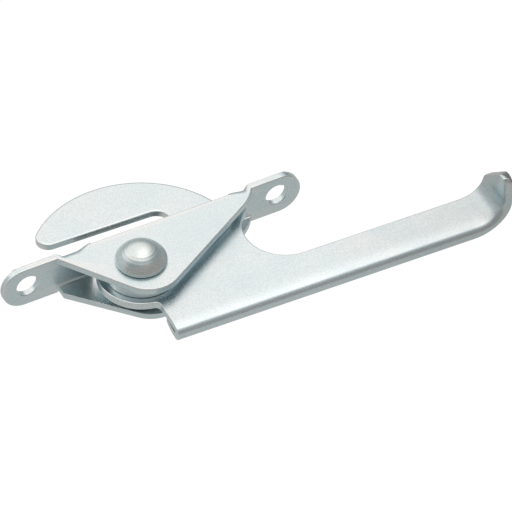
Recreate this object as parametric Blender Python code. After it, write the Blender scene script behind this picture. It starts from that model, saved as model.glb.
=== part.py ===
"""Rotary hook latch worked by a lever: a folded bracket, a hook blade and a lever turning on one rivet.

Metres, +Z up. The origin is midway between the two screw holes, on the face that goes against the panel.
+X runs along the screws to the handle, +Y points into the panel, and the rivet stands along +Z.
"""

import math

import bmesh
import bpy
from mathutils import Matrix

MM = 0.001

# Bracket: one sheet folded to a channel that lies on its side, with a screw ear at each end.
SCREW_SPACING = 75 * MM
SCREW_HOLE = 6.5 * MM
BRACKET_SHEET = 2.0 * MM
BLANK_DEPTH = 20 * MM  # how far in front of the rivet the uncut channel reaches
CHANNEL_HEIGHT = 12.2 * MM
BEND_OUTSIDE = 2.4 * MM
EAR_DROP = 0.5 * MM  # how far the ears reach below the lower flange
EAR_BEYOND_HOLE = 7.3 * MM
WINDOW_LEFT, WINDOW_RIGHT = -18.2 * MM, 23.5 * MM
WINDOW_EDGE_LEFT, WINDOW_EDGE_RIGHT = -0.6 * MM, -1.2 * MM  # the flanges' free back edges

# Rivet axis, and the clearances around the stack.
RIVET_X, RIVET_Y = -9.2 * MM, -12.6 * MM
FACE_GAP = 0.15 * MM
FIT_GAP = 0.3 * MM
TURN = math.radians(-2.1)  # the closed lever and hook stand this far off the bracket's own line

# Flange outlines, measured from the rivet axis: where each flank starts and the corner they would make.
LEFT_ROOT = -19.4 * MM
RIGHT_ROOT = 39.0 * MM
LOWER_LEFT_START = 7.4 * MM  # the upper flank starts on the web's face, the lower one this far out
UPPER_CORNER = (-1.9 * MM, -14.6 * MM)
LOWER_CORNER = (0.0 * MM, -13.6 * MM)
RIGHT_KNEE = (33.6 * MM, 5.8 * MM)
RIGHT_KNEE_RADIUS = 8.0 * MM
APEX_RADIUS = 9.3 * MM

# Hook blade.
BLADE_SHEET = 2.0 * MM
BLADE_HUB = 10.0 * MM
HOOK_RADIUS = 29.8 * MM
HOOK_CENTRE = (0.9 * MM, 2.0 * MM)
HEEL_BLEND, HEEL_CLEAR = 6, 2  # degrees past the heel: where its arc aims, and where the hook's starts
SLOT_WIDTH = 8.0 * MM
SLOT_FAR_EDGE = 17.4 * MM
SLOT_END = 10.8 * MM  # where the slot's round end is centred
FINGER_NOSE = 3.4 * MM
BLADE_FLANK = math.radians(30)
BLADE_HEEL = 3.0 * MM

# Lever.
LEVER_SHEET = 2.2 * MM
LEVER_HUB = 12.0 * MM
BAR_LEFT = -0.5 * MM
BAR_BACK = -11.7 * MM
BAR_LAP = -14.5 * MM  # how far the flat plate reaches into the bar
HEM_CENTRE = -21.8 * MM
HEM_RADIUS = 2.35 * MM
HEM_HOLLOW = 0.9 * MM  # height of the space left inside the roll
LIP_END = -16.6 * MM  # the free edge of the sheet folded under
LIP_RISE = 1.4 * MM  # how far the lip closes up on the bar from the roll to that edge
LIP_GAP = 0.3 * MM
NECK_FILLET = 1.8 * MM
FINGER_ROOM_RADIUS = 11.5 * MM
FINGER_ROOM = (42.4 * MM, BAR_BACK + FINGER_ROOM_RADIUS)  # centre of the round cut-out beside the ear
HORN_TIP = 11.5 * MM
HORN_NOSE = 1.6 * MM
CURL_START = 87.8 * MM
CURL_CENTRE_Z = 8.0 * MM
CURL_STEPS = 12
ROLL_PINCH = 2.2 * MM  # how much of the hem's thickness is pressed out of it by the end of the curl
TIP_SHOULDER = (BAR_BACK - 0.05 * MM, 8.0 * MM)  # the tip's outline seen along the bar, as (y, z)
TIP_PEAK = (-24.3 * MM, 19.5 * MM)
TIP_SHOULDER_RADIUS = 4.0 * MM
TIP_NOSE = 3.2 * MM

# Rivet and washers.
HEAD_DIAMETER = 14.0 * MM
HEAD_HEIGHT = 5.3 * MM
HEAD_RIM = 0.5 * MM
HEAD_RELIEF = 0.25 * MM  # how far the head's seat stands in from its rim
TOP_JOURNAL = 11.3 * MM
SQUARE = 7.8 * MM
SQUARE_CHAMFER = 0.8 * MM
BOTTOM_JOURNAL = 7.6 * MM
TAIL_DIAMETER = 12.0 * MM
TAIL_HEIGHT = 3.0 * MM
WASHER_DIAMETER = 15.6 * MM
WASHER_THICK = 1.2 * MM
WAVE_THICK = 0.5 * MM
WAVES = 3

HALF = CHANNEL_HEIGHT / 2
UNDER_UPPER = HALF - BRACKET_SHEET
ON_LOWER = -UNDER_UPPER
BLADE_TOP = UNDER_UPPER - FACE_GAP
BLADE_BOTTOM = BLADE_TOP - BLADE_SHEET
LEVER_TOP = BLADE_BOTTOM - FACE_GAP
LEVER_BOTTOM = LEVER_TOP - LEVER_SHEET
TAU = 2 * math.pi


def clear_scene():
    for obj in list(bpy.data.objects):
        bpy.data.objects.remove(obj, do_unlink=True)


def finish(name, colour, metallic, roughness):
    material = bpy.data.materials.new(name)
    material.use_nodes = True
    shader = material.node_tree.nodes["Principled BSDF"]
    shader.inputs["Base Color"].default_value = (*colour, 1)
    shader.inputs["Metallic"].default_value = metallic
    shader.inputs["Roughness"].default_value = roughness
    return material


def arc(centre, radius, start, end, steps):
    """Points on an arc from one angle to another, in degrees, both ends included."""
    return [
        (
            centre[0] + radius * math.cos(math.radians(start + (end - start) * i / steps)),
            centre[1] + radius * math.sin(math.radians(start + (end - start) * i / steps)),
        )
        for i in range(steps + 1)
    ]


def rounded(before, corner, after, radius, steps):
    """The corner between two straight edges, replaced by a tangent arc."""
    ax, ay = before[0] - corner[0], before[1] - corner[1]
    bx, by = after[0] - corner[0], after[1] - corner[1]
    a_len, b_len = math.hypot(ax, ay), math.hypot(bx, by)
    ax, ay, bx, by = ax / a_len, ay / a_len, bx / b_len, by / b_len
    half = math.acos(ax * bx + ay * by) / 2
    reach = radius / math.tan(half)
    mx, my = ax + bx, ay + by
    scale = radius / math.sin(half) / math.hypot(mx, my)
    centre = (corner[0] + mx * scale, corner[1] + my * scale)
    first = math.atan2(corner[1] + ay * reach - centre[1], corner[0] + ax * reach - centre[0])
    last = math.atan2(corner[1] + by * reach - centre[1], corner[0] + bx * reach - centre[0])
    sweep = (last - first + math.pi) % TAU - math.pi
    return arc(centre, radius, math.degrees(first), math.degrees(first + sweep), steps)


def new_object(name, mesh_builder, material=None):
    """An object whose mesh is built in bmesh, with its faces turned outwards."""
    mesh = bpy.data.meshes.new(name)
    shape = bmesh.new()
    mesh_builder(shape)
    bmesh.ops.recalc_face_normals(shape, faces=shape.faces)
    shape.to_mesh(mesh)
    shape.free()
    obj = bpy.data.objects.new(name, mesh)
    bpy.context.scene.collection.objects.link(obj)
    if material:
        mesh.materials.append(material)
    return obj


def prism(name, outline, low, high, axis="Z", material=None):
    """An outline extruded from low to high. Its points are (x, y) along Z, (x, z) along Y, (y, z) along X."""
    place = {
        "Z": lambda p, at: (p[0], p[1], at),
        "Y": lambda p, at: (p[0], at, p[1]),
        "X": lambda p, at: (at, p[0], p[1]),
    }[axis]

    def build(shape):
        bottom = shape.faces.new([shape.verts.new(place(p, low)) for p in outline])
        grown = bmesh.ops.extrude_face_region(shape, geom=[bottom])["geom"]
        start, end = place((0, 0), low), place((0, 0), high)
        move = [b - a for a, b in zip(start, end)]
        bmesh.ops.translate(shape, vec=move, verts=[v for v in grown if isinstance(v, bmesh.types.BMVert)])

    return new_object(name, build, material)


def disc(name, centre, radius, low, high, axis="Z", steps=40):
    return prism(name, arc(centre, radius, 0, 360 - 360 / steps, steps - 1), low, high, axis)


def turned(name, profile, steps, material=None):
    """A solid of revolution about Z from (radius, z) points that start and end on the axis."""

    def build(shape):
        points = [shape.verts.new((r, 0, z)) for r, z in profile]
        edges = [shape.edges.new(pair) for pair in zip(points, points[1:])]
        bmesh.ops.spin(
            shape, geom=points + edges, axis=(0, 0, 1), cent=(0, 0, 0), angle=TAU, steps=steps, use_merge=True
        )
        bmesh.ops.remove_doubles(shape, verts=shape.verts, dist=MM / 1000)

    return new_object(name, build, material)


def boolean(target, other, operation):
    """Adds, cuts or trims target by other, which is then kept only as a hidden helper."""
    modifier = target.modifiers.new(other.name, "BOOLEAN")
    modifier.operation = operation
    modifier.object = other
    other.hide_render = True
    other.display_type = "WIRE"


def smooth(obj, degrees=35):
    obj.data.shade_smooth()
    obj.data.set_sharp_from_angle(angle=math.radians(degrees))


def front_of_flange(left_start, corner):
    """Plan of all that is cut away in front of a flange and of the ears beside it."""
    face, far, front = -BRACKET_SHEET - RIVET_Y, 2 * SCREW_SPACING, -SCREW_SPACING
    left_root = (LEFT_ROOT, left_start)
    outline = [(-far, front), (far, front), (far, face), (RIGHT_ROOT, face)]
    flank = rounded(left_root, corner, RIGHT_KNEE, APEX_RADIUS, 12)
    flank += rounded(corner, RIGHT_KNEE, (RIGHT_ROOT, face), RIGHT_KNEE_RADIUS, 5)
    outline += reversed([left_root] + flank)
    if left_start < face:
        outline.append((LEFT_ROOT, face))
    outline.append((-far, face))
    return [(x + RIVET_X, y + RIVET_Y) for x, y in outline]


def side_outline():
    """The bracket seen from the front: channel height between the roots, and a round ear at each end."""
    bottom = -HALF - EAR_DROP
    radius = (HALF - bottom) / 2
    reach = SCREW_SPACING / 2 + EAR_BEYOND_HOLE - radius
    roots = [RIVET_X + LEFT_ROOT, RIVET_X + RIGHT_ROOT]
    outline = arc((-reach, HALF - radius), radius, 90, 270, 20)
    outline += [(roots[0], bottom), (roots[0], -HALF), (roots[1], -HALF), (roots[1], bottom)]
    return outline + arc((reach, HALF - radius), radius, -90, 90, 20)


def outside_of_bend(side):
    """Section in the YZ plane of what is cut off a square corner to leave the bend round."""
    over, centre = MM, HALF - BEND_OUTSIDE
    outline = arc((-BEND_OUTSIDE, centre), BEND_OUTSIDE, 90, 0, 6)
    outline += [(over, centre), (over, HALF + over), (-BEND_OUTSIDE, HALF + over)]
    return [(y, side * z) for y, z in outline]


def make_bracket(material):
    over = MM
    front = RIVET_Y - BLANK_DEPTH
    bracket = prism("mounting_bracket", side_outline(), front, 0, "Y", material)
    far = 2 * SCREW_SPACING
    inside = [(-far, front - over), (far, front - over), (far, -BRACKET_SHEET)]
    inside += [(WINDOW_RIGHT, -BRACKET_SHEET), (WINDOW_RIGHT, over), (WINDOW_LEFT, over)]
    inside += [(WINDOW_LEFT, -BRACKET_SHEET), (-far, -BRACKET_SHEET)]
    boolean(bracket, prism("channel_inside", inside, ON_LOWER, UNDER_UPPER), "DIFFERENCE")

    web_face = -BRACKET_SHEET - RIVET_Y
    upper = front_of_flange(web_face, UPPER_CORNER)
    lower = front_of_flange(LOWER_LEFT_START, LOWER_CORNER)
    boolean(bracket, prism("before_upper", upper, UNDER_UPPER - over, HALF + over), "DIFFERENCE")
    boolean(bracket, prism("before_lower", lower, -HALF - over, ON_LOWER + over), "DIFFERENCE")
    free_edge = [(WINDOW_LEFT, WINDOW_EDGE_LEFT), (WINDOW_RIGHT, WINDOW_EDGE_RIGHT)]
    free_edge += [(WINDOW_RIGHT, over), (WINDOW_LEFT, over)]
    boolean(bracket, prism("free_edges", free_edge, -HALF - over, HALF + over), "DIFFERENCE")
    for side, level in ((1, "upper"), (-1, "lower")):
        section = outside_of_bend(side)
        left = prism(level + "_left_bend", section, RIVET_X + LEFT_ROOT, WINDOW_LEFT, "X")
        right = prism(level + "_right_bend", section, WINDOW_RIGHT, RIVET_X + RIGHT_ROOT, "X")
        boolean(bracket, left, "DIFFERENCE")
        boolean(bracket, right, "DIFFERENCE")

    for side, name in ((-1, "left_hole"), (1, "right_hole")):
        centre = (side * SCREW_SPACING / 2, 0)
        boolean(bracket, disc(name, centre, SCREW_HOLE / 2, -5 * over, over, "Y", 32), "DIFFERENCE")
    for name, journal, low in (("upper_bore", TOP_JOURNAL, 0), ("lower_bore", BOTTOM_JOURNAL, -HALF - over)):
        bore = disc(name, (RIVET_X, RIVET_Y), journal / 2 + FIT_GAP, low, low + HALF + over)
        boolean(bracket, bore, "DIFFERENCE")
    smooth(bracket)
    return bracket


def blade_outline():
    """The hook's plan about the rivet axis: hub, straight slot open to the left, finger and heel."""
    slot_near = SLOT_FAR_EDGE - SLOT_WIDTH
    nose_y = SLOT_FAR_EDGE + FINGER_NOSE
    reach = HOOK_RADIUS - FINGER_NOSE
    nose_x = HOOK_CENTRE[0] - math.sqrt(reach**2 - (nose_y - HOOK_CENTRE[1]) ** 2)
    nose_turn = math.degrees(math.atan2(nose_y - HOOK_CENTRE[1], nose_x - HOOK_CENTRE[0]))
    hub_left = math.degrees(math.atan2(slot_near, -math.sqrt(BLADE_HUB**2 - slot_near**2)))
    hub_right = math.degrees(BLADE_FLANK) - 90
    start = (BLADE_HUB * math.cos(math.radians(hub_right)), BLADE_HUB * math.sin(math.radians(hub_right)))
    across, along = start[0] - HOOK_CENTRE[0], start[1] - HOOK_CENTRE[1]
    run = across * math.cos(BLADE_FLANK) + along * math.sin(BLADE_FLANK)
    length = math.sqrt(run**2 + HOOK_RADIUS**2 - across**2 - along**2) - run
    heel = (start[0] + length * math.cos(BLADE_FLANK), start[1] + length * math.sin(BLADE_FLANK))
    heel_turn = math.degrees(math.atan2(heel[1] - HOOK_CENTRE[1], heel[0] - HOOK_CENTRE[0])) + HEEL_BLEND
    above_heel = arc(HOOK_CENTRE, HOOK_RADIUS, heel_turn, heel_turn, 1)[0]

    outline = arc((0, 0), BLADE_HUB, hub_left, hub_right + 360, 24)
    outline += rounded(start, heel, above_heel, BLADE_HEEL, 5)
    outline += arc(HOOK_CENTRE, HOOK_RADIUS, heel_turn + HEEL_CLEAR, nose_turn, 30)
    outline += arc((nose_x, nose_y), FINGER_NOSE, nose_turn, 270, 9)[1:]
    outline += arc((SLOT_END, SLOT_FAR_EDGE - SLOT_WIDTH / 2), SLOT_WIDTH / 2, 90, -90, 12)
    return outline


def square_hole(name):
    half = SQUARE / 2 + FIT_GAP
    return prism(name, [(-half, -half), (half, -half), (half, half), (-half, half)], LEVER_BOTTOM - MM, HALF)


def make_blade(material, axis):
    blade = prism("hook_blade", blade_outline(), BLADE_BOTTOM, BLADE_TOP, "Z", material)
    hole = square_hole("blade_square")
    boolean(blade, hole, "DIFFERENCE")
    for obj in (blade, hole):
        obj.parent = axis
    smooth(blade)
    return blade


def lever_outline():
    """The lever's flat part: hub, horn, finger room, and the bar's first stretch as far as it stays flat."""
    room_x, room_y = FINGER_ROOM
    radius = FINGER_ROOM_RADIUS
    neck_reach = LEVER_HUB + NECK_FILLET
    neck_x = BAR_LEFT - NECK_FILLET
    neck_y = -math.sqrt(neck_reach**2 - neck_x**2)
    neck_turn = math.degrees(math.atan2(-neck_y, -neck_x))
    horn_y = HORN_TIP - HORN_NOSE
    horn_x = room_x - math.sqrt((radius + HORN_NOSE) ** 2 - (horn_y - room_y) ** 2)
    horn_turn = math.degrees(math.atan2(room_y - horn_y, room_x - horn_x))

    outline = arc((0, 0), LEVER_HUB, 90, 180 + neck_turn, 20)
    outline += arc((neck_x, neck_y), NECK_FILLET, neck_turn, 0, 5)
    outline += [(BAR_LEFT, BAR_LAP), (room_x, BAR_LAP)]
    outline += arc(FINGER_ROOM, radius, -90, horn_turn - 180, 20)
    outline += arc((horn_x, horn_y), HORN_NOSE, horn_turn, 90, 6)
    return outline


def bar_section():
    """The bar's section as (y, depth below its top): the sheet, its rolled hem and the lip under it."""
    bottom, lip = 2 * HEM_RADIUS, LIP_END - HEM_CENTRE
    hollow = (HEM_CENTRE + HEM_HOLLOW / 2, LEVER_SHEET + HEM_HOLLOW / 2)
    section = [(BAR_BACK, LEVER_SHEET), (BAR_BACK, 0)]
    section += [(y, HEM_RADIUS - z) for y, z in arc((HEM_CENTRE, 0), HEM_RADIUS, 90, 270, 14)]
    section += [(HEM_CENTRE + lip * t, bottom - LIP_RISE * t**2) for t in (0.25, 0.5, 0.75, 1)]
    section.append((LIP_END, LEVER_SHEET + LIP_GAP))
    return section + [(y, z) for y, z in arc(hollow, HEM_HOLLOW / 2, 90, 270, 6)]


def make_bar():
    """The section carried along the bar and up round the curl, where the hem is pressed nearly flat."""
    section = bar_section()
    curl, lip = CURL_CENTRE_Z - LEVER_TOP, 2 * HEM_RADIUS - LEVER_SHEET
    stations = [(BAR_LEFT, LEVER_TOP, 0, 0)]
    for step in range(CURL_STEPS + 1):
        share = step / CURL_STEPS
        turn = math.pi / 2 * share
        x, z = CURL_START + curl * math.sin(turn), CURL_CENTRE_Z - curl * math.cos(turn)
        stations.append((x, z, turn, ROLL_PINCH * share**2 * (3 - 2 * share)))
    stations.append((CURL_START + curl, TIP_PEAK[1], math.pi / 2, ROLL_PINCH))

    def depth(d, pinch):
        return pinch + min(d, LEVER_SHEET) + max(0, d - LEVER_SHEET) * (1 - pinch / lip)

    def build(shape):
        rings = []
        for x, z, turn, pinch in stations:
            out_x, out_z = math.sin(turn), -math.cos(turn)
            ring = [(x + out_x * depth(d, pinch), y, z + out_z * depth(d, pinch)) for y, d in section]
            rings.append([shape.verts.new(point) for point in ring])
        for first, second in zip(rings, rings[1:]):
            for i, corner in enumerate(first):
                j = (i + 1) % len(first)
                shape.faces.new((corner, first[j], second[j], second[i]))
        shape.faces.new(rings[0])
        shape.faces.new(rings[-1])

    return new_object("lever_bar", build)


def tip_outline():
    """What is kept of the bar seen along it: all of the flat bar, and a slanting round-nosed tip."""
    front, low = HEM_CENTRE - HEM_RADIUS - MM, -2 * CURL_CENTRE_Z
    side = (HEM_CENTRE - HEM_RADIUS - FACE_GAP, CURL_CENTRE_Z)
    below_shoulder = (BAR_BACK + MM / 2, TIP_SHOULDER[1] / 2)
    return (
        [(front, low), (BAR_BACK + MM, low), (BAR_BACK + MM, below_shoulder[1] - MM), below_shoulder]
        + rounded(below_shoulder, TIP_SHOULDER, TIP_PEAK, TIP_SHOULDER_RADIUS, 6)
        + rounded(TIP_SHOULDER, TIP_PEAK, side, TIP_NOSE, 10)
        + [side, (front, side[1])]
    )


def make_lever(material, axis):
    lever = prism("lever_handle", lever_outline(), LEVER_BOTTOM, LEVER_TOP, "Z", material)
    bar = make_bar()
    trim = prism("tip_trim", tip_outline(), BAR_LEFT - MM, CURL_START + 20 * MM, "X")
    hole = square_hole("lever_square")
    boolean(bar, trim, "INTERSECT")
    boolean(lever, bar, "UNION")
    boolean(lever, hole, "DIFFERENCE")
    for obj in (lever, bar, trim, hole):
        obj.parent = axis
    smooth(lever)
    return lever


def dome(radius, height, base, steps):
    """(radius, z) points of a spherical cap standing on base, from its crown down to its rim."""
    ball = (radius**2 + height**2) / (2 * height)
    widest = math.asin(min(1, radius / ball))
    if height > ball:
        widest = math.pi - widest
    turns = [widest * i / steps for i in range(steps + 1)]
    return [(ball * math.sin(t), base + height - ball + ball * math.cos(t)) for t in turns]


def make_rivet(material, axis):
    """Domed head, round journals in both flanges, a square that drives blade and lever, and a set tail."""
    seat = HALF + FACE_GAP
    tail = -HALF - FACE_GAP
    head = dome(HEAD_DIAMETER / 2, HEAD_HEIGHT - HEAD_RIM - FACE_GAP, seat + HEAD_RIM, 9)
    cap = dome(TAIL_DIAMETER / 2, TAIL_HEIGHT, -tail, 6)
    profile = head + [(HEAD_DIAMETER / 2 - HEAD_RELIEF, seat), (TOP_JOURNAL / 2, seat)]
    profile += [(TOP_JOURNAL / 2, UNDER_UPPER), (BOTTOM_JOURNAL / 2, UNDER_UPPER), (BOTTOM_JOURNAL / 2, tail)]
    profile += [(r, -z) for r, z in reversed(cap)]
    rivet = turned("pivot_rivet", profile, 40, material)
    half, corner = SQUARE / 2, SQUARE_CHAMFER
    square = []
    for quarter in range(4):
        spin = Matrix.Rotation(quarter * math.pi / 2, 2)
        square += [tuple(spin @ p) for p in (Matrix(((half, corner - half), (half, half - corner))))]
    neck = prism("square_neck", square, LEVER_BOTTOM, UNDER_UPPER + 0.5 * MM)
    boolean(rivet, neck, "UNION")
    for obj in (rivet, neck):
        obj.parent = axis
    smooth(rivet)
    return rivet


def make_thrust_washer(material, axis):
    top = LEVER_BOTTOM - FACE_GAP
    washer = disc("thrust_washer", (0, 0), WASHER_DIAMETER / 2, top - WASHER_THICK, top)
    washer.data.materials.append(material)
    bore = disc("thrust_bore", (0, 0), BOTTOM_JOURNAL / 2 + FIT_GAP, top - 2 * WASHER_THICK, top + MM)
    boolean(washer, bore, "DIFFERENCE")
    for obj in (washer, bore):
        obj.parent = axis
    smooth(washer)
    return washer


def make_wave_washer(material):
    """A spring washer waved three times round, filling the room under the thrust washer."""
    top = LEVER_BOTTOM - 2 * FACE_GAP - WASHER_THICK
    bottom = ON_LOWER + FACE_GAP
    middle, swing = (top + bottom) / 2, (top - bottom - WAVE_THICK) / 2
    inner, outer, steps = BOTTOM_JOURNAL / 2 + FIT_GAP, WASHER_DIAMETER / 2, 48

    def build(shape):
        rings = []
        for step in range(steps):
            turn = TAU * step / steps
            height = middle + swing * math.cos(WAVES * turn)
            corners = ((inner, -1), (outer, -1), (outer, 1), (inner, 1))
            rings.append(
                [
                    shape.verts.new((r * math.cos(turn), r * math.sin(turn), height + side * WAVE_THICK / 2))
                    for r, side in corners
                ]
            )
        for first, second in zip(rings, rings[1:] + rings[:1]):
            for i in range(4):
                j = (i + 1) % 4
                shape.faces.new((first[i], first[j], second[j], second[i]))

    washer = new_object("wave_washer", build, material)
    washer.location = (RIVET_X, RIVET_Y, 0)
    smooth(washer)
    return washer


def main():
    clear_scene()
    zinc = {
        "mounting_bracket": finish("zinc_plated_sheet", (0.62, 0.65, 0.67), 1, 0.32),
        "hook_blade": finish("zinc_plated_blade", (0.66, 0.68, 0.69), 1, 0.3),
        "lever_handle": finish("zinc_plated_lever", (0.64, 0.67, 0.69), 1, 0.28),
        "pivot_rivet": finish("zinc_plated_rivet", (0.6, 0.6, 0.58), 1, 0.35),
        "thrust_washer": finish("steel_washer", (0.5, 0.51, 0.52), 1, 0.4),
        "wave_washer": finish("spring_steel", (0.36, 0.36, 0.37), 1, 0.4),
    }
    axis = bpy.data.objects.new("rivet_axis", None)
    bpy.context.scene.collection.objects.link(axis)
    axis.location = (RIVET_X, RIVET_Y, 0)
    axis.rotation_euler = (0, 0, TURN)

    make_bracket(zinc["mounting_bracket"])
    make_blade(zinc["hook_blade"], axis)
    make_lever(zinc["lever_handle"], axis)
    make_rivet(zinc["pivot_rivet"], axis)
    make_thrust_washer(zinc["thrust_washer"], axis)
    make_wave_washer(zinc["wave_washer"])


main()
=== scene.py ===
"""A rotary hook latch in zinc-plated steel: folded bracket, hook blade and hand lever on one rivet."""

import math

import bmesh
import bpy
from mathutils import Matrix, Vector


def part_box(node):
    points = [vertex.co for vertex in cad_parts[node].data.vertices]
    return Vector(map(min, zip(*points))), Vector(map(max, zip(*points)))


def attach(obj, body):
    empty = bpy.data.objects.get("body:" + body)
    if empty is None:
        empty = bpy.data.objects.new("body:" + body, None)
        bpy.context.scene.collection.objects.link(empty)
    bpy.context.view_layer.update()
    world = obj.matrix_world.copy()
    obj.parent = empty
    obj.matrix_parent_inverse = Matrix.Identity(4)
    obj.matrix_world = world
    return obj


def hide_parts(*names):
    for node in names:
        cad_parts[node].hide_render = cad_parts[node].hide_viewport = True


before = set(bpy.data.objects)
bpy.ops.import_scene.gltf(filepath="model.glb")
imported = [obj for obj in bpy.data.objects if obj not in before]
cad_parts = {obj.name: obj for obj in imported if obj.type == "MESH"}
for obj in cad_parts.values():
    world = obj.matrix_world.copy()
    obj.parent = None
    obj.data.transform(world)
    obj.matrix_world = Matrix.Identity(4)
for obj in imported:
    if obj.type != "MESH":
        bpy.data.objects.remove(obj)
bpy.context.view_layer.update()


# ---------------------------------------------------------------- mounting bracket
# The real piece is one strip of 2 mm steel, punched and folded into a channel that lies on its side.
# A round-ended screw ear stands out at each end, and the window in its back lets the hook through.
# It is barrel plated in zinc after folding, so its edges are as bright as its faces.

MM = 0.001
SHEET = 2.0 * MM
bracket_low, bracket_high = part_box("mounting_bracket")
CHANNEL_TOP = bracket_high.z
INSIDE = CHANNEL_TOP - SHEET
EAR_BOTTOM = bracket_low.z
EAR_END = bracket_high.x
HOLE_X, HOLE_RADIUS = 37.5 * MM, 3.25 * MM
RIVET = Vector((-9.2 * MM, -12.6 * MM, 0))
UPPER_BORE, LOWER_BORE = 5.95 * MM, 4.1 * MM
WINDOW_LEFT, WINDOW_RIGHT = -18.2 * MM, 23.5 * MM
FREE_EDGE_LEFT, FREE_EDGE_RIGHT = -0.6 * MM, -1.2 * MM  # the flanges' back edges across the window

# The flanges in plan, measured from the rivet: where they leave the ears, and their front edges' corners.
LEFT_REACH, RIGHT_REACH = 19.4 * MM, 39.0 * MM
ROOT_LEFT, ROOT_RIGHT = RIVET.x - LEFT_REACH, RIVET.x + RIGHT_REACH
WEB_FACE = -SHEET - RIVET.y
LOWER_LEFT_START = 7.4 * MM
UPPER_CORNER, LOWER_CORNER, APEX_RADIUS = (-1.9 * MM, -14.6 * MM), (0.0, -13.6 * MM), 9.3 * MM
KNEE, KNEE_RADIUS = (36.4 * MM, 7.3 * MM), 16 * MM

BEND_ROUND, SHARPEST = 3.1 * MM, 0.004 * MM
BEND_LEFT_END, BEND_RIGHT_END = 1.0 * MM, 1.95 * MM  # the fold's radius where it meets the window
BEND_FROM_EAR, BEND_FROM_WINDOW = 2.2 * MM, 4.5 * MM  # the lengths over which it reaches its full radius
BEND_INSIDE = 0.8 * MM
DIE_ROLL = 0.38 * MM  # the soft edge that the punch leaves on the side it enters
BURR_SIDE = 0.16 * MM
INNER_CORNER = 0.1 * MM
CRISP, CRISP_REACH = 0.04 * MM, 0.4 * MM  # edges this near the window's ends stay crisp

BLANK_DEPTH = 20 * MM  # how far in front of the rivet the uncut channel reaches
FAR, FRONT, OVER = 0.15, 0.075, MM  # how far cutters reach to the sides, to the front and past a face


def arc(centre, radius, start, end, steps):
    """Points on an arc from one angle to another, in degrees, both ends included."""
    turns = [math.radians(start + (end - start) * i / steps) for i in range(steps + 1)]
    return [(centre[0] + radius * math.cos(t), centre[1] + radius * math.sin(t)) for t in turns]


def rounded(before, corner, after, radius, steps):
    """The corner between two straight edges, replaced by a tangent arc."""
    into = (Vector(before) - Vector(corner)).normalized()
    out = (Vector(after) - Vector(corner)).normalized()
    half = into.angle(out) / 2
    centre = Vector(corner) + (into + out).normalized() * radius / math.sin(half)
    reach = radius / math.tan(half)
    first = Vector(corner) + into * reach - centre
    last = Vector(corner) + out * reach - centre
    start = math.atan2(first.y, first.x)
    sweep = (math.atan2(last.y, last.x) - start + math.pi) % math.tau - math.pi
    return arc(centre, radius, math.degrees(start), math.degrees(start + sweep), steps)


def piece_from(name, build):
    """An object whose mesh is made by build(bmesh), with its faces turned outwards."""
    mesh = bpy.data.meshes.new(name)
    shape = bmesh.new()
    build(shape)
    bmesh.ops.recalc_face_normals(shape, faces=shape.faces)
    shape.to_mesh(mesh)
    shape.free()
    obj = bpy.data.objects.new(name, mesh)
    bpy.context.scene.collection.objects.link(obj)
    return obj


def loft(name, rings, closed=False):
    """A skin through rings of the same number of points, capped at both ends unless it closes on itself."""

    def build(shape):
        loops = [[shape.verts.new(p) for p in ring] for ring in rings]
        pairs = list(zip(loops, loops[1:]))
        if closed:
            pairs.append((loops[-1], loops[0]))
        for first, second in pairs:
            for i, corner in enumerate(first):
                j = (i + 1) % len(first)
                shape.faces.new((corner, first[j], second[j], second[i]))
        if not closed:
            shape.faces.new(loops[0])
            shape.faces.new(loops[-1])

    return piece_from(name, build)


def blank(name, outline, low, high, axis="Z"):
    """An outline carried straight from low to high: (x, y) along Z, (x, z) along Y or (y, z) along X."""
    place = {
        "Z": lambda p, at: (p[0], p[1], at),
        "Y": lambda p, at: (p[0], at, p[1]),
        "X": lambda p, at: (at, p[0], p[1]),
    }[axis]
    return loft(name, [[place(p, at) for p in outline] for at in (low, high)])


def disc(name, centre, radius, low, high, axis="Z", steps=72):
    return blank(name, arc(centre, radius, 0, 360 - 360 / steps, steps - 1), low, high, axis)


def settle(obj):
    """Turns what the modifiers make into the object's own mesh."""
    graph = bpy.context.evaluated_depsgraph_get()
    graph.update()
    mesh = bpy.data.meshes.new_from_object(obj.evaluated_get(graph))
    obj.modifiers.clear()
    obj.data = mesh


def combine(target, tools, operation="DIFFERENCE"):
    """Cuts, adds or trims target by each of the tools in turn, and throws the tools away."""
    for tool in tools:
        modifier = target.modifiers.new(tool.name, "BOOLEAN")
        modifier.operation, modifier.object = operation, tool
        settle(target)
        bpy.data.objects.remove(tool, do_unlink=True)


def soften(obj, width_at, flatten=1, segments=4, crease=28):
    """Rounds sharp edges by the width that width_at(middle, normal, other normal, concave) gives.

    A flatten above 1 makes the rounding that many times shallower in height, like the roll a punch leaves.
    """
    shape = bmesh.new()
    shape.from_mesh(obj.data)
    bmesh.ops.remove_doubles(shape, verts=shape.verts, dist=MM / 100)
    layers = shape.edges.layers.float
    weight = layers.get("bevel_weight_edge") or layers.new("bevel_weight_edge")
    widest = 0
    for edge in shape.edges:
        edge[weight] = 0
        if len(edge.link_faces) == 2 and edge.calc_face_angle() > math.radians(crease):
            first, second = (face.normal for face in edge.link_faces)
            middle = (edge.verts[0].co + edge.verts[1].co) / 2
            edge[weight] = width_at(middle, first, second, not edge.is_convex)
            widest = max(widest, edge[weight])
    for edge in shape.edges:
        edge[weight] /= widest
    shape.transform(Matrix.Diagonal((1, 1, flatten, 1)))
    shape.to_mesh(obj.data)
    shape.free()
    bevel = obj.modifiers.new("edges", "BEVEL")
    bevel.limit_method, bevel.width, bevel.segments = "WEIGHT", widest, segments
    bevel.use_clamp_overlap, bevel.loop_slide = False, False
    settle(obj)
    obj.data.transform(Matrix.Diagonal((1, 1, 1 / flatten, 1)))


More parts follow.
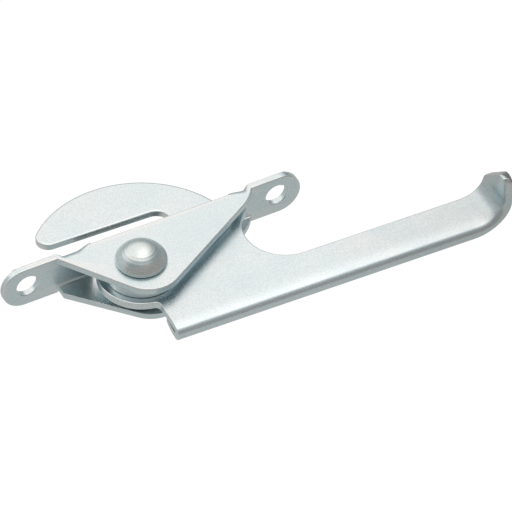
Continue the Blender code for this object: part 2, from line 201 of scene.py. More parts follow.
def dress(obj, material):
    """Gives the piece its finish, smooth shading that keeps flats flat, and a mask of its rounded edges."""
    mesh = obj.data
    mesh.materials.clear()
    mesh.materials.append(material)
    mesh.shade_smooth()
    shape = bmesh.new()
    shape.from_mesh(mesh)
    least, spread = 14, 8  # degrees between two faces where the mask starts, and over which it rises
    mask = [0.0] * len(shape.verts)
    for edge in shape.edges:
        if len(edge.link_faces) == 2:
            turn = math.degrees(edge.calc_face_angle())
            for vert in edge.verts:
                mask[vert.index] = max(mask[vert.index], min(1, max(0, (turn - least) / spread)))
    shape.free()
    worn = mesh.attributes.new("edge", "FLOAT", "POINT")
    worn.data.foreach_set("value", mask)
    weighted = obj.modifiers.new("flat faces", "WEIGHTED_NORMAL")
    weighted.weight, weighted.keep_sharp = 80, True
    settle(obj)


def flange_front(left_start, corner):
    """Plan of all that is cut away in front of a flange, measured from the rivet and then moved to it."""
    left, right = (-LEFT_REACH, left_start), (RIGHT_REACH, WEB_FACE)
    edge = rounded(left, corner, KNEE, APEX_RADIUS, 30) + rounded(corner, KNEE, right, KNEE_RADIUS, 12)
    outline = [(-FAR, -FRONT), (FAR, -FRONT), (FAR, WEB_FACE), right] + edge[::-1] + [left]
    if left_start < WEB_FACE:
        outline.append((left[0], WEB_FACE))
    return [(x + RIVET.x, y + RIVET.y) for x, y in outline + [(-FAR, WEB_FACE)]]


def bend_round(x, root, window, at_window):
    """The fold's radius at x: nearly nothing at the ear's edge, full between, less at the window's edge."""
    from_root = min(1, abs(x - root) / BEND_FROM_EAR)
    from_window = min(1, abs(x - window) / BEND_FROM_WINDOW)
    rise = from_root**2 * (3 - 2 * from_root)
    fall = from_window**2 * (3 - 2 * from_window)
    return rise * (at_window + (BEND_ROUND - at_window) * fall) + SHARPEST


def bend_cutter(name, root, window, at_window, side):
    """What comes off the square corner of the channel to leave its fold round."""
    over, steps = 0.5 * MM, 40
    rings = []
    for i in range(steps + 1):
        x = root + (window - root) * i / steps
        radius = bend_round(x, root, window, at_window)
        outline = arc((-radius, CHANNEL_TOP - radius), radius, 90, 0, 14)
        outline += [(over, CHANNEL_TOP - radius), (over, CHANNEL_TOP + over), (-radius, CHANNEL_TOP + over)]
        rings.append([(x, y, side * z) for y, z in outline])
    return loft(name, rings)


ear_radius = (CHANNEL_TOP - EAR_BOTTOM) / 2
ear_reach = EAR_END - ear_radius
ear_middle = CHANNEL_TOP - ear_radius
front_view = arc((-ear_reach, ear_middle), ear_radius, 90, 270, 44)
front_view += [(ROOT_LEFT, EAR_BOTTOM), (ROOT_LEFT, -CHANNEL_TOP), (ROOT_RIGHT, -CHANNEL_TOP)]
front_view += [(ROOT_RIGHT, EAR_BOTTOM)] + arc((ear_reach, ear_middle), ear_radius, -90, 90, 44)
bracket = blank("bracket", front_view, RIVET.y - BLANK_DEPTH, 0, "Y")

hollow = [(-FAR, -FRONT), (FAR, -FRONT), (FAR, -SHEET), (WINDOW_RIGHT, -SHEET), (WINDOW_RIGHT, OVER)]
hollow += [(WINDOW_LEFT, OVER), (WINDOW_LEFT, -SHEET), (-FAR, -SHEET)]
free_edge = [(WINDOW_LEFT, FREE_EDGE_LEFT), (WINDOW_RIGHT, FREE_EDGE_RIGHT), (WINDOW_RIGHT, OVER)]
free_edge.append((WINDOW_LEFT, OVER))
upper_front = flange_front(WEB_FACE, UPPER_CORNER)
lower_front = flange_front(LOWER_LEFT_START, LOWER_CORNER)
cutters = [
    blank("hollow", hollow, -INSIDE, INSIDE),
    blank("upper_front", upper_front, INSIDE - OVER, CHANNEL_TOP + OVER),
    blank("lower_front", lower_front, -CHANNEL_TOP - OVER, -INSIDE + OVER),
    blank("free_edge", free_edge, -CHANNEL_TOP - OVER, CHANNEL_TOP + OVER),
]
for side in (1, -1):
    cutters.append(bend_cutter("left_bend", ROOT_LEFT, WINDOW_LEFT, BEND_LEFT_END, side))
    cutters.append(bend_cutter("right_bend", ROOT_RIGHT, WINDOW_RIGHT, BEND_RIGHT_END, side))
    cutters.append(disc("screw_hole", (side * HOLE_X, 0), HOLE_RADIUS, -SHEET - OVER, OVER, "Y"))
cutters.append(disc("upper_bore", RIVET.xy, UPPER_BORE, 0, CHANNEL_TOP + OVER))
cutters.append(disc("lower_bore", RIVET.xy, LOWER_BORE, -CHANNEL_TOP - OVER, 0))
combine(bracket, cutters)


def near(value, target):
    return abs(value - target) < 0.01 * MM


def bracket_edge(middle, first, second, concave):
    """Crisp edges at the window, fillets inside the folds, and softer edges where the punch went in."""
    if min(abs(middle.x - WINDOW_LEFT), abs(middle.x - WINDOW_RIGHT)) < CRISP_REACH:
        return CRISP
    if concave:
        return BEND_INSIDE if near(middle.y, -SHEET) and near(abs(middle.z), INSIDE) else INNER_CORNER
    punched = near(middle.y, -SHEET) or near(abs(middle.z), CHANNEL_TOP)
    return DIE_ROLL if punched else BURR_SIDE


soften(bracket, bracket_edge)


def mix_node(tree, kind, factor, first, second, blend="MIX"):
    """A Mix node of floats or colours; each input is a socket or a plain value."""
    node = tree.nodes.new("ShaderNodeMix")
    node.data_type, node.blend_type = kind, blend
    slots = {"FLOAT": (0, 2, 3), "RGBA": (0, 6, 7)}[kind]
    for index, value in zip(slots, (factor, first, second)):
        if isinstance(value, bpy.types.NodeSocket):
            tree.links.new(value, node.inputs[index])
        else:
            node.inputs[index].default_value = value
    return node.outputs[0 if kind == "FLOAT" else 2]


def maths(tree, operation, first, second=0.0, third=0.0, clamp=False):
    """A Math node; each input is a socket or a plain number."""
    node = tree.nodes.new("ShaderNodeMath")
    node.operation, node.use_clamp = operation, clamp
    for socket, value in zip(node.inputs, (first, second, third)):
        if isinstance(value, bpy.types.NodeSocket):
            tree.links.new(value, socket)
        else:
            socket.default_value = value
    return node.outputs[0]


def noise(tree, place, scale, detail=3.0, stretch=None):
    """A noise value over the piece. Scale is repeats per metre, or a socket."""
    if stretch:
        mapping = tree.nodes.new("ShaderNodeMapping")
        mapping.inputs["Scale"].default_value = stretch
        tree.links.new(place, mapping.inputs["Vector"])
        place = mapping.outputs[0]
    node = tree.nodes.new("ShaderNodeTexNoise")
    node.inputs["Detail"].default_value = detail
    tree.links.new(place, node.inputs["Vector"])
    if isinstance(scale, bpy.types.NodeSocket):
        tree.links.new(scale, node.inputs["Scale"])
    else:
        node.inputs["Scale"].default_value = scale
    return node.outputs[0]


def zinc_group():
    """Barrel-plated zinc: cloudy passivation film, fine crystal grain, roll lines and burnished edges."""
    tree = bpy.data.node_groups.new("zinc_plate", "ShaderNodeTree")
    for name, kind, value in (
        ("Metal", "Color", (0.8, 0.83, 0.84, 1)),
        ("Film", "Color", (0.7, 0.8, 0.85, 1)),
        ("Edge Metal", "Color", (0.76, 0.83, 0.845, 1)),
        ("Cloud Scale", "Float", 90.0),
        ("Grain Scale", "Float", 2600.0),
        ("Grain Depth", "Float", 0.5),
        ("Roughness", "Float", 0.2),
        ("Roughness Spread", "Float", 0.1),
    ):
        socket = tree.interface.new_socket(name, in_out="INPUT", socket_type="NodeSocket" + kind)
        socket.default_value = value
    for name, kind in (("Colour", "Color"), ("Roughness", "Float"), ("Normal", "Vector")):
        tree.interface.new_socket(name, in_out="OUTPUT", socket_type="NodeSocket" + kind)
    given = tree.nodes.new("NodeGroupInput").outputs
    result = tree.nodes.new("NodeGroupOutput").inputs
    place = tree.nodes.new("ShaderNodeTexCoord").outputs["Object"]
    edge = tree.nodes.new("ShaderNodeAttribute")
    edge.attribute_name = "edge"

    cloud = noise(tree, place, given["Cloud Scale"], 4)
    cloud = maths(tree, "MULTIPLY_ADD", cloud, 2.4, -0.7, clamp=True)
    grain = noise(tree, place, given["Grain Scale"], 2)
    lines = noise(tree, place, 1.0, 2, (60, 1400, 1400))
    specks = maths(tree, "GREATER_THAN", noise(tree, place, 520.0, 1), 0.735)

    colour = mix_node(tree, "RGBA", cloud, given["Metal"], given["Film"])
    faint = maths(tree, "MULTIPLY", specks, 0.07)
    colour = mix_node(tree, "RGBA", faint, colour, (0.42, 0.45, 0.46, 1))
    colour = mix_node(tree, "RGBA", edge.outputs["Fac"], colour, given["Edge Metal"])
    stipple = maths(tree, "MULTIPLY_ADD", grain, 0.5, 0.76)
    colour = mix_node(tree, "RGBA", 1.0, colour, stipple, "MULTIPLY")
    tree.links.new(colour, result["Colour"])

    uneven = maths(tree, "MULTIPLY_ADD", cloud, 0.5, grain)
    uneven = maths(tree, "SUBTRACT", uneven, 0.75)
    uneven = maths(tree, "MULTIPLY", uneven, given["Roughness Spread"])
    rough = maths(tree, "ADD", given["Roughness"], uneven, clamp=True)
    tree.links.new(rough, result["Roughness"])

    height = maths(tree, "MULTIPLY_ADD", lines, 0.35, grain)
    bump = tree.nodes.new("ShaderNodeBump")
    bump.inputs["Distance"].default_value = 0.03 * MM
    tree.links.new(given["Grain Depth"], bump.inputs["Strength"])
    tree.links.new(height, bump.inputs["Height"])
    tree.links.new(bump.outputs[0], result["Normal"])
    return tree


zinc_plate = zinc_group()


def zinc(name, **values):
    """A zinc finish: the shared plating group with this piece's own values, on a metal shader."""
    material = bpy.data.materials.new(name)
    material.use_nodes = True
    tree = material.node_tree
    shader = tree.nodes["Principled BSDF"]
    shader.inputs["Metallic"].default_value = 1.0
    plating = tree.nodes.new("ShaderNodeGroup")
    plating.node_tree = zinc_plate
    for key, value in values.items():
        plating.inputs[key.replace("_", " ")].default_value = value
    for out, into in (("Colour", "Base Color"), ("Roughness", "Roughness"), ("Normal", "Normal")):
        tree.links.new(plating.outputs[out], shader.inputs[into])
    return material


bracket_zinc = zinc(
    "zinc_on_folded_sheet",
    Metal=(0.7, 0.805, 0.835, 1),
    Film=(0.645, 0.78, 0.82, 1),
    Roughness=0.3,
    Grain_Depth=0.5,
)
dress(bracket, bracket_zinc)
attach(bracket, "bracket")
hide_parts("mounting_bracket")


# ---------------------------------------------------------------- hook blade
# A 2 mm punched plate keyed on the rivet's square, under the upper flange. Its slot holds the keeper pin.
# It is plated like the bracket. The punch went in from above, so its upper edge is the softer one.

blade_low, blade_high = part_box("hook_blade")
TURN = math.radians(-2.1)  # the lever and the blade stand this far off the bracket's own line when closed
HUB = 10.0 * MM
HOOK, HOOK_CENTRE = 29.8 * MM, (0.9 * MM, 2.0 * MM)
SLOT_FAR, SLOT_NEAR, SLOT_END = 17.4 * MM, 9.4 * MM, 10.8 * MM
NOSE, HEEL, FLANK = 3.4 * MM, 3.0 * MM, math.radians(30)
HEEL_AIM, HEEL_CLEAR = 6, 2  # degrees past the heel: where its arc aims, and where the hook's arc starts
KEY = 8.4 * MM  # the square hole that the rivet drives
BLADE_ROLL, BLADE_BURR, BLADE_FLATTEN = 0.7 * MM, 0.25 * MM, 2


def degrees_of(point, centre=(0, 0)):
    return math.degrees(math.atan2(point[1] - centre[1], point[0] - centre[0]))


def blade_outline():
    """The plate's plan about the rivet: hub, straight slot open to the left, finger and heel."""
    nose_y = SLOT_FAR + NOSE
    nose = (HOOK_CENTRE[0] - math.sqrt((HOOK - NOSE) ** 2 - (nose_y - HOOK_CENTRE[1]) ** 2), nose_y)
    hub_left = degrees_of((-math.sqrt(HUB**2 - SLOT_NEAR**2), SLOT_NEAR))
    hub_right = math.degrees(FLANK) - 90
    start = Vector(arc((0, 0), HUB, hub_right, hub_right, 1)[0])
    along = Vector((math.cos(FLANK), math.sin(FLANK)))
    away = start - Vector(HOOK_CENTRE)
    run = -away.dot(along) + math.sqrt(away.dot(along) ** 2 + HOOK**2 - away.length_squared)
    heel = start + along * run
    heel_turn = degrees_of(heel, HOOK_CENTRE) + HEEL_AIM
    above_heel = arc(HOOK_CENTRE, HOOK, heel_turn, heel_turn, 1)[0]
    outline = arc((0, 0), HUB, hub_left, hub_right + 360, 72)
    outline += rounded(start, heel, above_heel, HEEL, 12)
    outline += arc(HOOK_CENTRE, HOOK, heel_turn + HEEL_CLEAR, degrees_of(nose, HOOK_CENTRE), 110)
    outline += arc(nose, NOSE, degrees_of(nose, HOOK_CENTRE), 270, 22)[1:]
    return outline + arc((SLOT_END, (SLOT_FAR + SLOT_NEAR) / 2), (SLOT_FAR - SLOT_NEAR) / 2, 90, -90, 32)


def key_hole(low, high):
    half = KEY / 2
    return blank("key_hole", [(-half, -half), (half, -half), (half, half), (-half, half)], low, high)


def onto_rivet(obj):
    """Moves a piece made about the rivet's own axis to its closed place in the latch."""
    obj.data.transform(Matrix.Translation(RIVET) @ Matrix.Rotation(TURN, 4, "Z"))


def blade_edge(middle, first, second, concave):
    return BLADE_ROLL if near(middle.z, blade_high.z) else BLADE_BURR


blade = blank("blade", blade_outline(), blade_low.z, blade_high.z)
combine(blade, [key_hole(blade_low.z - OVER, blade_high.z + OVER)])
soften(blade, blade_edge, BLADE_FLATTEN)
onto_rivet(blade)
blade_zinc = zinc(
    "zinc_on_blade",
    Metal=(0.71, 0.81, 0.84, 1),
    Film=(0.66, 0.79, 0.825, 1),
    Roughness=0.3,
)
dress(blade, blade_zinc)
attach(blade, "lever")
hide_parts("hook_blade")


# ---------------------------------------------------------------- hand lever
# A 2.2 mm punched plate keyed on the same square. Its front edge is rolled under to make a smooth grip, and
# the lip closes up beneath. The end is curled up, its roll pressed nearly flat, and cut to a slanting tip.

LEVER_SHEET = 2.2 * MM
FACE_GAP = 0.15 * MM
LEVER_TOP = blade_low.z - FACE_GAP
LEVER_UNDER = LEVER_TOP - LEVER_SHEET
LEVER_HUB, NECK = 12.0 * MM, 1.8 * MM
LEVER_BURR, LEVER_FLATTEN = 0.12 * MM, 1.6
BAR_LEFT, BAR_BACK, BAR_LAP = -0.5 * MM, -11.7 * MM, 3 * MM
ROLL_CENTRE, ROLL = -21.8 * MM, 2.35 * MM
ROLL_HOLLOW = 0.9 * MM
LEAN, LEAN_LENGTH = 16, 4.6 * MM  # degrees reached, and the width over which the sheet leans into its roll
LIP_END, LIP_RISE, LIP_GAP = -16.6 * MM, 1.4 * MM, 0.3 * MM
ROOM_RADIUS = 11.5 * MM
ROOM = (42.4 * MM, BAR_BACK + ROOM_RADIUS)
HORN_TIP, HORN_NOSE = 11.5 * MM, 1.6 * MM
CURL_START, CURL_CENTRE, CURL_TOP = 87.8 * MM, 8.0 * MM, 22 * MM
PINCH = 2.2 * MM  # how much of the roll's thickness is pressed out of it by the end of the curl
SHOULDER, SHOULDER_RADIUS = (BAR_BACK - 0.05 * MM, 8.0 * MM), 4 * MM  # the tip, as (y, z) along the bar
PEAK, PEAK_RADIUS = (-24.3 * MM, 19.5 * MM), 3.2 * MM


def lever_outline():
    """The flat part's plan: hub, neck, the bar's first stretch, finger room and horn."""
    neck_x = BAR_LEFT - NECK
    neck = (neck_x, -math.sqrt((LEVER_HUB + NECK) ** 2 - neck_x**2))
    horn_y = HORN_TIP - HORN_NOSE
    horn = (ROOM[0] - math.sqrt((ROOM_RADIUS + HORN_NOSE) ** 2 - (horn_y - ROOM[1]) ** 2), horn_y)
    neck_turn = degrees_of((0, 0), neck)
    horn_turn = degrees_of(ROOM, horn)
    outline = arc((0, 0), LEVER_HUB, 90, 180 + neck_turn, 70)
    outline += arc(neck, NECK, neck_turn, 0, 12)
    outline += [(BAR_LEFT, BAR_BACK - BAR_LAP), (ROOM[0], BAR_BACK - BAR_LAP)]
    outline += arc(ROOM, ROOM_RADIUS, -90, horn_turn - 180, 60)
    return outline + arc(horn, HORN_NOSE, horn_turn, 90, 16)


def bar_section():
    """The bar's section as (y, depth below its top): the sheet, its roll and the lip closing up under it.

    The sheet leans into the roll over its last few millimetres, as rolled sheet does.
    """
    lip = LIP_END - ROLL_CENTRE
    inside = (ROLL_CENTRE + ROLL_HOLLOW / 2, LEVER_SHEET + ROLL_HOLLOW / 2)
    lean_end = math.radians(LEAN)
    lean_drop = LEAN_LENGTH * math.tan(lean_end) / 3
    roll = (2 * ROLL - lean_drop) / (1 + math.cos(lean_end))
    centre = (ROLL_CENTRE - ROLL + roll, 2 * ROLL - roll)
    start = centre[0] - roll * math.sin(lean_end) + LEAN_LENGTH
    section = [(BAR_BACK, LEVER_SHEET), (BAR_BACK, 0)]
    for i in range(10):
        t = i / 10
        section.append((start - LEAN_LENGTH * t, lean_drop * t**3))
    section += [(y, centre[1] - z) for y, z in arc((centre[0], 0), roll, 90 + LEAN, 270, 28)]
    section += [(ROLL_CENTRE + lip * i / 8, 2 * ROLL - LIP_RISE * (i / 8) ** 2) for i in range(1, 9)]
    section.append((LIP_END, LEVER_SHEET + LIP_GAP))
    return section + arc(inside, ROLL_HOLLOW / 2, 90, 270, 12)


def make_bar():
    """The section carried along the bar and up round the curl, where the roll is pressed nearly flat."""
    section, curl, lip, steps = bar_section(), CURL_CENTRE - LEVER_TOP, 2 * ROLL - LEVER_SHEET, 30
    stations = [(BAR_LEFT, LEVER_TOP, 0, 0)]
    for i in range(steps + 1):
        share = i / steps
        turn = math.pi / 2 * share
        x, z = CURL_START + curl * math.sin(turn), CURL_CENTRE - curl * math.cos(turn)
        stations.append((x, z, turn, PINCH * share**2 * (3 - 2 * share)))
    stations.append((CURL_START + curl, CURL_TOP, math.pi / 2, PINCH))
    rings = []
    for x, z, turn, pinch in stations:
        ring = []
        for y, d in section:
            deep = pinch + min(d, LEVER_SHEET) + max(0, d - LEVER_SHEET) * (1 - pinch / lip)
            ring.append((x + math.sin(turn) * deep, y, z - math.cos(turn) * deep))
        rings.append(ring)
    return loft("bar", rings)


def tip_keep():
    """All that is kept of the bar, seen along it: the flat bar and the slanting round-nosed tip."""
    side, low, front = (PEAK[0], CURL_CENTRE), -20 * MM, PEAK[0] - OVER
    behind, below = BAR_BACK + OVER, (BAR_BACK + OVER / 2, SHOULDER[1] / 2)
    outline = [(front, low), (behind, low), (behind, below[1] - OVER), below]
    outline += rounded(below, SHOULDER, PEAK, SHOULDER_RADIUS, 16)
    outline += rounded(SHOULDER, PEAK, side, PEAK_RADIUS, 24)
    return outline + [side, (front, side[1])]


lever = blank("lever", lever_outline(), LEVER_UNDER, LEVER_TOP)
bar = make_bar()
combine(bar, [blank("tip_keep", tip_keep(), BAR_LEFT - OVER, FAR, "X")], "INTERSECT")
combine(lever, [bar], "UNION")
combine(lever, [key_hole(LEVER_UNDER - OVER, LEVER_TOP + OVER)])


def lever_edge(middle, first, second, concave):
    """Soft upper edges and crisp lower ones. In the curl only the inner face's edge is soft."""
    if middle.x > CURL_START:
        inward = Vector((CURL_START - middle.x, 0, max(0, CURL_CENTRE - middle.z)))
        upper = inward.length < CURL_CENTRE - LEVER_TOP + PINCH + 0.3 * MM
        facing = max(first.dot(inward), second.dot(inward)) > 0.8 * inward.length
        return DIE_ROLL if upper and facing else 0
    return DIE_ROLL if near(middle.z, LEVER_TOP) else LEVER_BURR


soften(lever, lever_edge, LEVER_FLATTEN)
onto_rivet(lever)
lever_zinc = zinc(
    "zinc_on_lever",
    Metal=(0.7, 0.805, 0.835, 1),
    Film=(0.645, 0.78, 0.82, 1),
    Roughness=0.3,
)

# Painted shade: the lever's colour is darkened towards its curled end, where the curl sits darker in its
# light.
lever_tree = lever_zinc.node_tree
lever_place = lever_tree.nodes.new("ShaderNodeTexCoord").outputs["Object"]
along = lever_tree.nodes.new("ShaderNodeSeparateXYZ")
lever_tree.links.new(lever_place, along.inputs[0])
curl_shade_ramp = lever_tree.nodes.new("ShaderNodeMapRange")
curl_shade_ramp.inputs["From Min"].default_value = ROOM[0] + RIVET.x
curl_shade_ramp.inputs["From Max"].default_value = CURL_START
lever_tree.links.new(along.outputs["X"], curl_shade_ramp.inputs["Value"])
painted_curl_shade = mix_node(lever_tree, "RGBA", curl_shade_ramp.outputs[0], (1, 1, 1, 1), (0.84, 0.83, 0.82, 1))
base_colour = lever_tree.nodes["Principled BSDF"].inputs["Base Color"]
bright = base_colour.links[0].from_socket
lever_tree.links.new(mix_node(lever_tree, "RGBA", 1.0, bright, painted_curl_shade, "MULTIPLY"), base_colour)
dress(lever, lever_zinc)
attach(lever, "lever")
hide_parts("lever_handle")


# ---------------------------------------------------------------- pivot rivet
# A cold-headed steel rivet: a domed head on the upper flange, round journals in both flanges, and a square
# neck that drives the blade and the lever. Its tail is spun over under the lower flange to hold the stack.

rivet_low, rivet_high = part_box("pivot_rivet")
HEAD_SEAT = CHANNEL_TOP + FACE_GAP
TAIL_SEAT = -HEAD_SEAT
HEAD_RIM, CROWN_EDGE, CROWN_Z = 7.0 * MM, 6.0 * MM, 8.55 * MM
RING_HEIGHT, RING_PITCH, RING_START = 0.012 * MM, 0.84 * MM, 2.6 * MM  # faint rings that the die leaves
TAIL_RADIUS, TAIL_ROUND = 6.0 * MM, 0.9 * MM
DISH_DEPTH, DISH_RADIUS, PIP_HEIGHT, PIP_RADIUS = 0.5 * MM, 2.2 * MM, 0.35 * MM, 0.7 * MM
JOURNAL, LOWER_JOURNAL = 5.65 * MM, 3.8 * MM
SQUARE_HALF, SQUARE_CHAMFER = 3.9 * MM, 0.8 * MM


def turned(name, profile, steps=96):
    """A solid of revolution about Z from (radius, z) points that start and end on the axis."""

    def build(shape):
        points = [shape.verts.new((r, 0, z)) for r, z in profile]
        edges = [shape.edges.new(pair) for pair in zip(points, points[1:])]
        axis = {"axis": (0, 0, 1), "cent": (0, 0, 0)}
        bmesh.ops.spin(shape, geom=points + edges, angle=math.tau, steps=steps, use_merge=True, **axis)
        bmesh.ops.remove_doubles(shape, verts=shape.verts, dist=MM / 500)

    return piece_from(name, build)


def head_profile():
    """The head from crown to seat: a shallow crown with faint rings, a step, and a steep skirt."""
    height = rivet_high.z - CROWN_Z
    ball = (CROWN_EDGE**2 + height**2) / (2 * height)
    points = []
    for i in range(61):
        r = CROWN_EDGE * i / 60
        ring = RING_HEIGHT * math.sin(r / RING_PITCH * math.tau) * min(1, max(0, (r - RING_START) / MM))
        points.append((r, rivet_high.z - ball + math.sqrt(ball**2 - r**2) + ring))
    skirt_start = Vector((CROWN_EDGE + 0.05 * MM, CROWN_Z - 0.12 * MM))
    skirt_pull = Vector((HEAD_RIM, CROWN_Z - 1.1 * MM))
    skirt_end = Vector((HEAD_RIM, HEAD_SEAT + 0.5 * MM))
    for i in range(15):
        t = i / 14
        points.append(tuple(skirt_start * (1 - t) ** 2 + skirt_pull * 2 * t * (1 - t) + skirt_end * t**2))
    return points + [(HEAD_RIM - 0.05 * MM, HEAD_SEAT + 0.2 * MM), (HEAD_RIM - 0.25 * MM, HEAD_SEAT)]


def tail_profile():
    """The spun tail from seat to tip: a low button with a dished middle and the tool's small pip."""
    depth, button = TAIL_SEAT - rivet_low.z, TAIL_RADIUS - 0.6 * MM
    centre = (TAIL_RADIUS - TAIL_ROUND, TAIL_SEAT - TAIL_ROUND)
    points = [(TAIL_RADIUS - 0.2 * MM, TAIL_SEAT)] + arc(centre, TAIL_ROUND, 10, -50, 8)
    for i in range(1, 31):
        r = button * (1 - i / 30)
        bulge = depth * (1 - 0.42 * (r / button) ** 2)
        dish = DISH_DEPTH * max(0, 1 - (r / DISH_RADIUS) ** 2)
        pip = PIP_HEIGHT * max(0, 1 - (r / PIP_RADIUS) ** 2)
        points.append((r, TAIL_SEAT - bulge + dish - pip))
    return points


rivet_profile = head_profile() + [(JOURNAL, HEAD_SEAT), (JOURNAL, INSIDE), (LOWER_JOURNAL, INSIDE)]
rivet_profile += [(LOWER_JOURNAL, TAIL_SEAT)] + tail_profile()
rivet = turned("rivet", rivet_profile)
square_side = SQUARE_HALF - SQUARE_CHAMFER
square_outline = []
for quarter in range(4):
    spin = Matrix.Rotation(quarter * math.pi / 2, 2)
    for corner in ((SQUARE_HALF, -square_side), (SQUARE_HALF, square_side)):
        square_outline.append(tuple(spin @ Vector(corner)))
combine(rivet, [blank("square_neck", square_outline, LEVER_UNDER, INSIDE + OVER / 2)], "UNION")
onto_rivet(rivet)
rivet_zinc = zinc(
    "zinc_on_rivet",
    Metal=(0.71, 0.81, 0.81, 1),
    Film=(0.65, 0.77, 0.775, 1),
    Edge_Metal=(0.73, 0.82, 0.82, 1),
    Roughness=0.3,
    Grain_Depth=0.3,
    Cloud_Scale=160.0,
)
dress(rivet, rivet_zinc)
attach(rivet, "lever")
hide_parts("pivot_rivet")


# ---------------------------------------------------------------- thrust washer
# A punched flat washer that spins with the lever and spreads the spring's push over its hub.
# It is zinc plated, and tumbling has left its edges soft.

thrust_low, thrust_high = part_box("thrust_washer")
WASHER_OUTSIDE, WASHER_INSIDE, WASHER_SOFT = 7.8 * MM, 4.1 * MM, 0.2 * MM


def washer_ring(name, height_at, thick, soft, steps=144):
    """A flat or waved ring with soft edges. height_at(turn) gives the height of its middle."""
    half = thick / 2
    section = []
    for x, z, start in ((WASHER_OUTSIDE, half, 90), (WASHER_OUTSIDE, -half, 0)):
        corner = (x - soft, z - math.copysign(soft, z))
        section += arc(corner, soft, start, start - 90, 4)
    for x, z, start in ((WASHER_INSIDE, -half, 270), (WASHER_INSIDE, half, 180)):
        corner = (x + soft, z - math.copysign(soft, z))
        section += arc(corner, soft, start, start - 90, 4)
    rings = []
    for i in range(steps):
        turn = math.tau * i / steps
        middle = height_at(turn)
        rings.append([(r * math.cos(turn), r * math.sin(turn), middle + z) for r, z in section])
    return loft(name, rings, closed=True)


thrust_middle = (thrust_low.z + thrust_high.z) / 2
washer = washer_ring("washer", lambda turn: thrust_middle, thrust_high.z - thrust_low.z, WASHER_SOFT)
washer.data.transform(Matrix.Translation(RIVET))
washer_zinc = zinc(
    "zinc_on_washer",
    Metal=(0.7, 0.73, 0.74, 1),
    Film=(0.62, 0.68, 0.71, 1),
    Roughness=0.28,
)
dress(washer, washer_zinc)
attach(washer, "lever")
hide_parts("thrust_washer")


# ---------------------------------------------------------------- wave washer
# A hardened spring-steel ring pressed into three waves. It sits on the lower flange and pushes the lever up
# against the blade, which gives the latch its drag. Its bare steel is oiled and dark.

wave_low, wave_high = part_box("wave_washer")
WAVES, WAVE_SHEET, WAVE_SOFT = 3, 0.5 * MM, 0.12 * MM
wave_middle = (wave_low.z + wave_high.z) / 2
wave_swing = (wave_high.z - wave_low.z - WAVE_SHEET) / 2


def wave_height(turn):
    return wave_middle + wave_swing * math.cos(WAVES * turn)


spring = washer_ring("spring", wave_height, WAVE_SHEET, WAVE_SOFT)
spring.data.transform(Matrix.Translation(RIVET))
spring_steel = zinc(
    "oiled_spring_steel",
    Metal=(0.34, 0.33, 0.32, 1),
    Film=(0.24, 0.25, 0.28, 1),
    Edge_Metal=(0.46, 0.45, 0.43, 1),
    Roughness=0.34,
    Cloud_Scale=220.0,
)
dress(spring, spring_steel)
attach(spring, "bracket")
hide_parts("wave_washer")


# ---------------------------------------------------------------- floor, light and camera
# A sheet of white paper well below the latch, which glows evenly so that no shadow shows on it.
# The sky is a dome of studio panels, brightest overhead and a little behind.
# A long lens looks down from the front left.

FLOOR_DROP, FLOOR_THICK, FLOOR_HALF = 45 * MM, 10 * MM, 3
floor_top = bracket_low.z - FLOOR_DROP
floor_plan = [(-FLOOR_HALF, -FLOOR_HALF), (FLOOR_HALF, -FLOOR_HALF), (FLOOR_HALF, FLOOR_HALF)]
floor_plan.append((-FLOOR_HALF, FLOOR_HALF))
floor = blank("floor", floor_plan, floor_top - FLOOR_THICK, floor_top)
paper = bpy.data.materials.new("white_paper")
paper.use_nodes = True
paper_tree = paper.node_tree
paper_place = paper_tree.nodes.new("ShaderNodeTexCoord").outputs["Object"]
fibre = noise(paper_tree, paper_place, 900.0, 3)

# The lens sees the paper white, and the latch reflects it as a warm grey.
paper_white = mix_node(paper_tree, "RGBA", fibre, (0.99, 0.99, 0.99, 1), (1.02, 1.02, 1.02, 1))
seen = paper_tree.nodes.new("ShaderNodeLightPath").outputs["Is Camera Ray"]
paper_light = mix_node(paper_tree, "RGBA", seen, (0.5, 0.485, 0.465, 1), paper_white)
paper_shader = paper_tree.nodes["Principled BSDF"].inputs
paper_tree.links.new(paper_light, paper_shader["Emission Color"])
paper_shader["Emission Strength"].default_value = 1.0
paper_shader["Base Color"].default_value = (0.02, 0.02, 0.02, 1)
paper_shader["Roughness"].default_value = 0.9
floor.data.materials.append(paper)

world = bpy.data.worlds.new("studio")
bpy.context.scene.world = world
world.use_nodes = True
sky_tree = world.node_tree
toward = sky_tree.nodes.new("ShaderNodeTexCoord").outputs["Generated"]


def nearness(direction):
    """How nearly each direction of the sky points this way, from -1 to 1."""
    node = sky_tree.nodes.new("ShaderNodeVectorMath")
    node.operation = "DOT_PRODUCT"
    node.inputs[1].default_value = Vector(direction).normalized()
    sky_tree.links.new(toward, node.inputs[0])
    return node.outputs["Value"]


def between(value, low, high):
    """Rises smoothly from 0 where the value is low to 1 where it is high."""
    node = sky_tree.nodes.new("ShaderNodeMapRange")
    node.interpolation_type = "SMOOTHSTEP"
    node.inputs["From Min"].default_value = low
    node.inputs["From Max"].default_value = high
    sky_tree.links.new(value, node.inputs["Value"])
    return node.outputs[0]


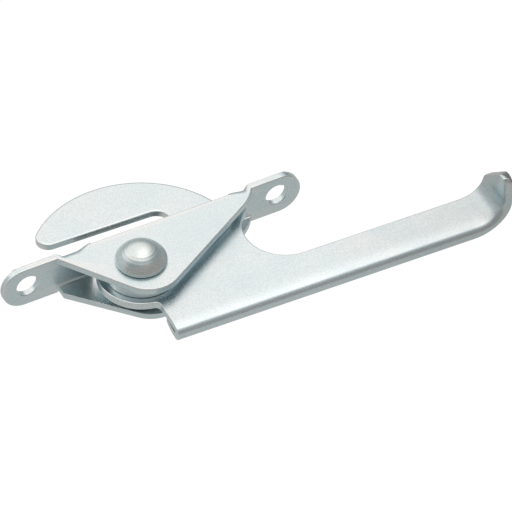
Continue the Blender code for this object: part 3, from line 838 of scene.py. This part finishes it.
# The sky's brightness and tint, by how nearly a direction points up and a little to the back.
sky = sky_tree.nodes.new("ShaderNodeValToRGB")
sky_tree.links.new(nearness((0, 0.47, 0.88)), sky.inputs[0])
WARM, COOL = (1.19, 1.07, 1.02), (0.94, 1.04, 1.1)
levels = (
    (0.0, 0.3, WARM),
    (0.25, 0.34, WARM),
    (0.42, 0.27, COOL),
    (0.6, 0.36, COOL),
    (0.75, 0.75, WARM),
    (0.88, 1.03, WARM),
    (0.97, 0.94, WARM),
)
ramp = sky.color_ramp
while len(ramp.elements) < len(levels):
    ramp.elements.new(0.5)
for element, (at, level, tint) in zip(ramp.elements, levels):
    element.position = at
    element.color = (*(level * share for share in tint), 1)
sky_colour = sky.outputs[0]
for direction, outside, inside, level in (
    ((0.22, 0.1, 0.97), 0.86, 0.96, 0.25),  # overhead, a little to the right
    ((0.05, -0.3, 0.95), 0.84, 0.95, 0.2),  # overhead, towards the front
    ((-0.75, 0.63, 0.15), 0.7, 0.95, 0.25),  # low at the back left
):
    panel = between(nearness(direction), outside, inside)
    light = mix_node(sky_tree, "RGBA", panel, (0, 0, 0, 1), (*(level * share for share in WARM), 1))
    sky_colour = mix_node(sky_tree, "RGBA", 1.0, sky_colour, light, "ADD")
seen = sky_tree.nodes.new("ShaderNodeLightPath").outputs["Is Camera Ray"]
sky_colour = mix_node(sky_tree, "RGBA", seen, sky_colour, (1, 1, 1, 1))
sky_tree.links.new(sky_colour, sky_tree.nodes["Background"].inputs["Color"])
sky_tree.nodes["Background"].inputs["Strength"].default_value = 1.0


AZIMUTH, ELEVATION = math.radians(-27.464), math.radians(44.75)
DISTANCE, AIM_RIGHT, AIM_DOWN = 1.4286, 28.36 * MM, 5.48 * MM
flat_back = Vector((math.sin(AZIMUTH), -math.cos(AZIMUTH), 0))
back = flat_back * math.cos(ELEVATION) + Vector((0, 0, math.sin(ELEVATION)))
right = Vector((math.cos(AZIMUTH), math.sin(AZIMUTH), 0))
up = back.cross(right)
aim = right * AIM_RIGHT - up * AIM_DOWN
place = back * DISTANCE
look_back = (place - aim).normalized()
look_right = up.cross(look_back).normalized()
look_up = look_back.cross(look_right)
lens = bpy.data.cameras.new("camera")
lens.sensor_width, lens.lens = 36, 375
lens.clip_start, lens.clip_end = 0.1, 10
camera = bpy.data.objects.new("camera", lens)
bpy.context.scene.collection.objects.link(camera)
turn = Matrix((look_right, look_up, look_back)).transposed().to_4x4()
camera.matrix_world = Matrix.Translation(place) @ turn
bpy.context.scene.camera = camera
bpy.context.scene.view_settings.view_transform = "Standard"
